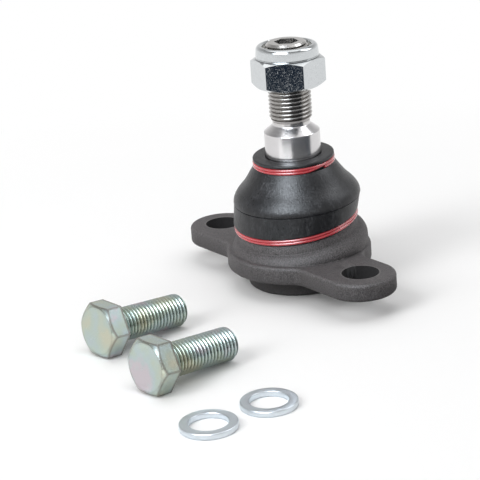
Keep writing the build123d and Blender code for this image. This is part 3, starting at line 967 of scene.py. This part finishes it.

# %% [markdown]
# The stud is bright turned steel. The tool leaves fine rings round it, so a noise that changes only along
# the upright gives the bump and a little of the roughness. Its thread is rolled, oiled and darker, and a
# mask over the height tells the two apart. Shade is painted into the roots of the thread and the key socket.

# %% Turned steel finish
steel, tree, shader, grain = start_material("turned_steel_finish", 150.0, 900.0, 30.0)
turned = mix(grain["Mottle"], (0.60, 0.585, 0.59), (0.72, 0.71, 0.715))
rolled = spread(axes(object_place(tree))["Z"], 0.0, 1.0, relief_foot, relief_top)
# Shade is painted into the thread roots and the key socket.
corner_shade = spread(add_edge_and_shade_masks(tree, 0.3 * MM, 0.8 * MM)["Grime"], 0.0, 1.0, 0.05, 0.45)
thread = mix(corner_shade, (0.56, 0.545, 0.53), (0.13, 0.12, 0.11))
feed(shader,
     Base_Color=mix(rolled, turned, thread),
     Roughness=spread(grain["Mottle"], 0.19, 0.25),
     Metallic=1.0,
     Normal=bump(grain["Mottle"], 0.02, 0.05 * MM))
dress(steel, ball_stud)

# %% [markdown]
# The nut is plated with bright zinc, on bar that was drawn and not polished. Its flats are speckled with
# dull grains, which don't mirror as the rest does, so they are made a little less metallic. Shade is
# painted into the corner at the foot of the collar.

# %% Zinc nut finish
nut_zinc, tree, shader, grain = start_material("nut_zinc_finish", 700.0, 2400.0)
zinc = mix(grain["Mottle"], (0.56, 0.585, 0.60), (0.66, 0.68, 0.69))
# Shade is painted into the corner at the foot of the collar.
collar_shade = spread(add_edge_and_shade_masks(tree, 0.5 * MM, 1.0 * MM)["Grime"], 0.0, 0.8, 0.06, 0.40)
feed(shader,
     Base_Color=mix(collar_shade, zinc, (0.09, 0.095, 0.10)),
     Roughness=spread(grain["Mottle"], 0.06, 0.12),
     Metallic=spread(grain["Grain"], 1.0, 0.45, 0.55, 0.72),
     Normal=bump(grain["Mottle"], 0.02, 0.05 * MM))
dress(nut_zinc, lock_nut)

# %% [markdown]
# The wire is coated red and glossy, and a little darker where the coating is thin.

# %% Red wire finish
red_coat, tree, shader, grain = start_material("red_wire_finish", 260.0, 2200.0)
feed(shader,
     Base_Color=mix(grain["Mottle"], (0.36, 0.012, 0.020), (0.66, 0.045, 0.060)),
     Roughness=spread(grain["Grain"], 0.10, 0.20),
     Coat_Weight=1.0,
     Coat_Roughness=0.25,
     Coat_IOR=1.7,
     Normal=bump(grain["Grain"], 0.05, 0.05 * MM))
dress(red_coat, lower_ring, upper_ring)

# %% [markdown]
# The bolts are zinc with a thin passivation, which shines from a bluish green silver through pale pink to
# straw as its thickness changes. The change is broad, so a bolt head has only one or two patches of it. The
# edges of a head are darker, and shade is painted into the thread.

# %% Passivated bolt finish
PASSIVATION = [
    (0.36, (0.56, 0.51, 0.54)),
    (0.45, (0.46, 0.54, 0.54)),
    (0.55, (0.47, 0.54, 0.48)),
    (0.66, (0.54, 0.54, 0.43)),
]
passivated, tree, shader, grain = start_material("bolt_zinc_finish", 70.0, 1500.0)
bath = ramp(grain["Mottle"], PASSIVATION)
edges_and_shade = add_edge_and_shade_masks(tree, 1.0 * MM, 0.7 * MM)
on_head = tree.nodes.new("ShaderNodeAttribute")
on_head.attribute_name = "head_share"
# The edges of the head are made darker.
edges = spread(edges_and_shade["Edge"], 0.0, 0.8, 0.02, 0.16)
edge_darkening = calculate(tree, "MULTIPLY", edges, on_head.outputs["Fac"])
edge_darkened = mix(edge_darkening, bath, (0.20, 0.18, 0.155))
# Shade is painted into the roots and corners of the thread.
corner_shade = spread(edges_and_shade["Grime"], 0.0, 0.85, 0.05, 0.45)
feed(shader,
     Base_Color=mix(corner_shade, edge_darkened, (0.12, 0.125, 0.10)),
     Roughness=spread(grain["Grain"], 0.16, 0.28),
     Metallic=1.0,
     Normal=bump(grain["Grain"], 0.05, 0.04 * MM))
dress(passivated, bolt, second_bolt)

# %% [markdown]
# The washers are blue-white zinc, scuffed from lying loose in a bag, with a dark reflection painted along
# their stamped edges.

# %% Washer finish
washer_zinc, tree, shader, grain = start_material("washer_zinc_finish", 300.0, 1800.0)
zinc = mix(grain["Mottle"], (0.62, 0.67, 0.705), (0.70, 0.745, 0.78))
# A dark reflection is painted along the stamped edges.
rim_dark_reflection = spread(add_edge_and_shade_masks(tree, 0.7 * MM, 1.0 * MM)["Edge"], 0.0, 0.65, 0.08, 0.40)
feed(shader,
     Base_Color=mix(rim_dark_reflection, zinc, (0.30, 0.32, 0.345)),
     Roughness=spread(grain["Mottle"], 0.29, 0.36),
     Metallic=1.0,
     Normal=bump(grain["Grain"], 0.03, 0.05 * MM))
dress(washer_zinc, *washers)

# %% [markdown]
# The seat and the nylon ring are moulded plastics, off-white and slightly uneven.

# %% Plastic finishes
def plastic_finish(name, dark, pale, roughness):
    """Moulded plastic between two tones."""
    material, tree, shader, grain = start_material(name, 180.0, 1600.0)
    feed(shader,
         Base_Color=mix(grain["Mottle"], dark, pale),
         Roughness=spread(grain["Grain"], roughness - 0.06, roughness + 0.08),
         Normal=bump(grain["Grain"], 0.08, 0.05 * MM))
    return material


dress(plastic_finish("nylon_ring_finish", (0.24, 0.235, 0.215), (0.36, 0.35, 0.32), 0.4), nylon_ring)
dress(plastic_finish("seat_plastic_finish", (0.70, 0.68, 0.62), (0.82, 0.80, 0.74), 0.45),
      bpy.data.objects["ball_seat"])

# %% [markdown]
# The table is white and fades to a plain white ground away from the pieces, so that it keeps their soft
# shadows and nothing else. The fade is only for what is seen, by the camera or in a reflection, so the
# table throws no light of its own on the pieces.

# %% Table
FLOOR_RADIUS = 4.0
FLOOR_DROP = 0.02 * MM
FADE_CENTRE = Vector((0.02, -0.04, 0))
FADE_SPAN = (0.12, 0.30)
bpy.ops.mesh.primitive_circle_add(vertices=96, radius=FLOOR_RADIUS, fill_type="NGON",
                                  location=(0, 0, -FLOOR_DROP))
floor = bpy.context.object
floor.name = "table"
floor_paint = bpy.data.materials.new("table_white")
floor_paint.use_nodes = True
tree = floor_paint.node_tree
shader = tree.nodes["Principled BSDF"]
feed(shader, Base_Color=(0.93, 0.93, 0.93), Roughness=0.9, Specular_IOR_Level=0.0)
span = calculate(tree, "DISTANCE", object_place(tree), FADE_CENTRE, kind="ShaderNodeVectorMath")
far = spread(span, 0.0, 1.0, *FADE_SPAN)
rays = tree.nodes.new("ShaderNodeLightPath").outputs
seen = calculate(tree, "MAXIMUM", rays["Is Camera Ray"], rays["Is Glossy Ray"])
plain_white = node(tree, "ShaderNodeEmission", Strength=1.0)
fade = node(tree, "ShaderNodeMixShader", Fac=calculate(tree, "MULTIPLY", far, seen))
supply(fade.inputs[1], shader.outputs["BSDF"])
supply(fade.inputs[2], plain_white.outputs["Emission"])
feed(tree.nodes["Material Output"], Surface=fade.outputs["Shader"])
floor.data.materials.append(floor_paint)

# %% [markdown]
# Bright metal shows whatever stands round it, so cards stand about it that are seen only in reflections.
# Dark ones lie in front and give the pin, the nut and the skirt of the boot their dark bands, and a white
# one gives the pin its bright band. Two soft boxes stand higher and put the sheen on the rubber, the larger
# one in strips that grow dimmer to its sides, and a grey dome dims what the upper faces show.

# %% Reflection cards
CARD_STEPS = 60
CARD_LIFT = 0.5 * MM
BOX_TINT = (0.86, 0.93, 1.0)
BOX_FALL = [(0.0, 1.0), (1.0, 0.9)]
BOX_OUTLINE = [(1.0, 0.40), (0.85, 0.90), (0.50, 1.25)]
SIDE_BOX_OUTLINE = [(1.0, 0.55), (0.8, 0.95), (0.6, 1.15)]
TENT_FALL = [(0.0, 0.95), (0.30, 0.7), (0.7, 0.35), (1.0, 0.3)]
TENT_RADIUS = 3.0
camera_heading = math.atan2(camera_back.y, camera_back.x)


def even(level):
    """The same level at every height."""
    return [(0.0, level), (1.0, level)]


def card_paint(name, stops, tint=(1, 1, 1), strength=1.0):
    """A card that shines by itself, from (height share, level) pairs between the table and the zenith."""
    paint = bpy.data.materials.new(name)
    paint.use_nodes = True
    tree = paint.node_tree
    aim = calculate(tree, "NORMALIZE", object_place(tree), kind="ShaderNodeVectorMath", output="Vector")
    shades = [(at, tuple(level * part for part in tint)) for at, level in stops]
    colour = ramp(axes(aim)["Z"], shades)
    glow = node(tree, "ShaderNodeEmission", Color=colour, Strength=strength)
    feed(tree.nodes["Material Output"], Surface=glow.outputs["Emission"])
    return paint


def stand_card(name, outline, first, last, paint):
    """Sweep an outline round the joint, between two angles from the camera's heading, in degrees."""
    card = draw_outline(name, outline)
    spin_outline(CARD_STEPS, math.radians(last - first))
    bpy.ops.object.mode_set(mode="OBJECT")
    card.rotation_euler.z = camera_heading + math.radians(last)
    settle()
    card.data.materials.append(paint)
    card.visible_camera = card.visible_diffuse = card.visible_shadow = card.visible_transmission = False
    return card


def floor_card(name, near, far, first, last, paint):
    """A card that lies just above the table, between two distances from the joint."""
    return stand_card(name, [(near, CARD_LIFT), (far, CARD_LIFT)], first, last, paint)


dim = card_paint("dim_card_paint", even(0.10))
dark = card_paint("dark_card_paint", even(0.045), (0.6, 0.85, 1.2))
navy = card_paint("navy_card_paint", even(0.028), (0.5, 0.85, 1.4))
white = card_paint("white_card_paint", even(1.0), strength=1.65)
box_core, box_fade, box_edge = [
    card_paint(f"soft_box_{part}_paint", BOX_FALL, BOX_TINT, strength)
    for part, strength in (("core", 14.5), ("fade", 8.0), ("edge", 3.0))]
side_box = card_paint("side_box_paint", even(1.0), (0.93, 0.96, 1.0), 3.4)
tent = card_paint("grey_tent_paint", TENT_FALL)
box_strips = [(-60, -53, box_edge), (-53, -46, box_fade), (-46, -12, box_core),
              (-12, -5, box_fade), (-5, 2, box_edge)]
cards = [
    floor_card("near_floor_card", 0.05, 0.15, 0, 70, dark),
    floor_card("dim_floor_card", 0.16, 0.25, -8, 54, dim),
    floor_card("dark_edge_card", 0.16, 0.25, 54, 74, dark),
    floor_card("white_floor_card", 0.16, 0.25, -60, -8, white),
    floor_card("dark_front_card", 0.25, 0.80, -45, 74, navy),
    *[stand_card(f"soft_box_card_{number}", BOX_OUTLINE, *strip)
      for number, strip in enumerate(box_strips)],
    stand_card("side_box_card", SIDE_BOX_OUTLINE, 80, 112, side_box),
    stand_card("grey_tent", arc((0, 0), TENT_RADIUS, 0, 90, 24), 0, 360, tent),
]
print("cards:", len(cards))

# %% [markdown]
# The light is a white tent: an even world, a large soft lamp at the upper left, one overhead, and a weaker
# one at the right. Their sum is set so that a colour comes out about as it is written. The world looks
# brighter than it lights, so that the ground stays white. The large lamp is left out of reflections, where
# the soft box already stands for it.

# %% Light
SKY_LIGHT = 0.54
SKY_SEEN = 1.0
world = bpy.data.worlds.new("white_tent")
bpy.context.scene.world = world
world.use_nodes = True
tree = world.node_tree
rays = tree.nodes.new("ShaderNodeLightPath").outputs
seen = calculate(tree, "MAXIMUM", rays["Is Camera Ray"], rays["Is Glossy Ray"])
seen = calculate(tree, "MAXIMUM", seen, rays["Is Transmission Ray"])
level = spread(seen, SKY_LIGHT, SKY_SEEN, 0.0, 1.0)
feed(tree.nodes["Background"], Color=(1, 1, 1), Strength=level)


def soft_lamp(name, side, front, height, width, tall, power):
    """An oblong soft lamp, placed from the camera's point of view and aimed at the boot."""
    bpy.ops.object.light_add(type="AREA")
    lamp = name_new(name)
    lamp.data.shape = "RECTANGLE"
    lamp.data.size, lamp.data.size_y = width, tall
    lamp.data.energy = power
    toward = Vector((math.cos(camera_heading), math.sin(camera_heading), 0))
    spot = Vector((0, 0, boot_high.z))
    lamp.location = spot + camera_level * side + toward * front + Vector((0, 0, height))
    lamp.rotation_euler = (lamp.location - spot).to_track_quat("Z", "Y").to_euler()
    return lamp


key_lamp = soft_lamp("front_left_lamp", side=-0.85, front=0.60, height=0.72, width=0.5, tall=0.9, power=8.0)
key_lamp.visible_glossy = False
soft_lamp("right_lamp", side=0.74, front=-0.13, height=0.83, width=0.4, tall=0.5, power=0.8)
soft_lamp("top_lamp", side=0.0, front=-0.30, height=1.20, width=1.2, tall=1.2, power=5.0)
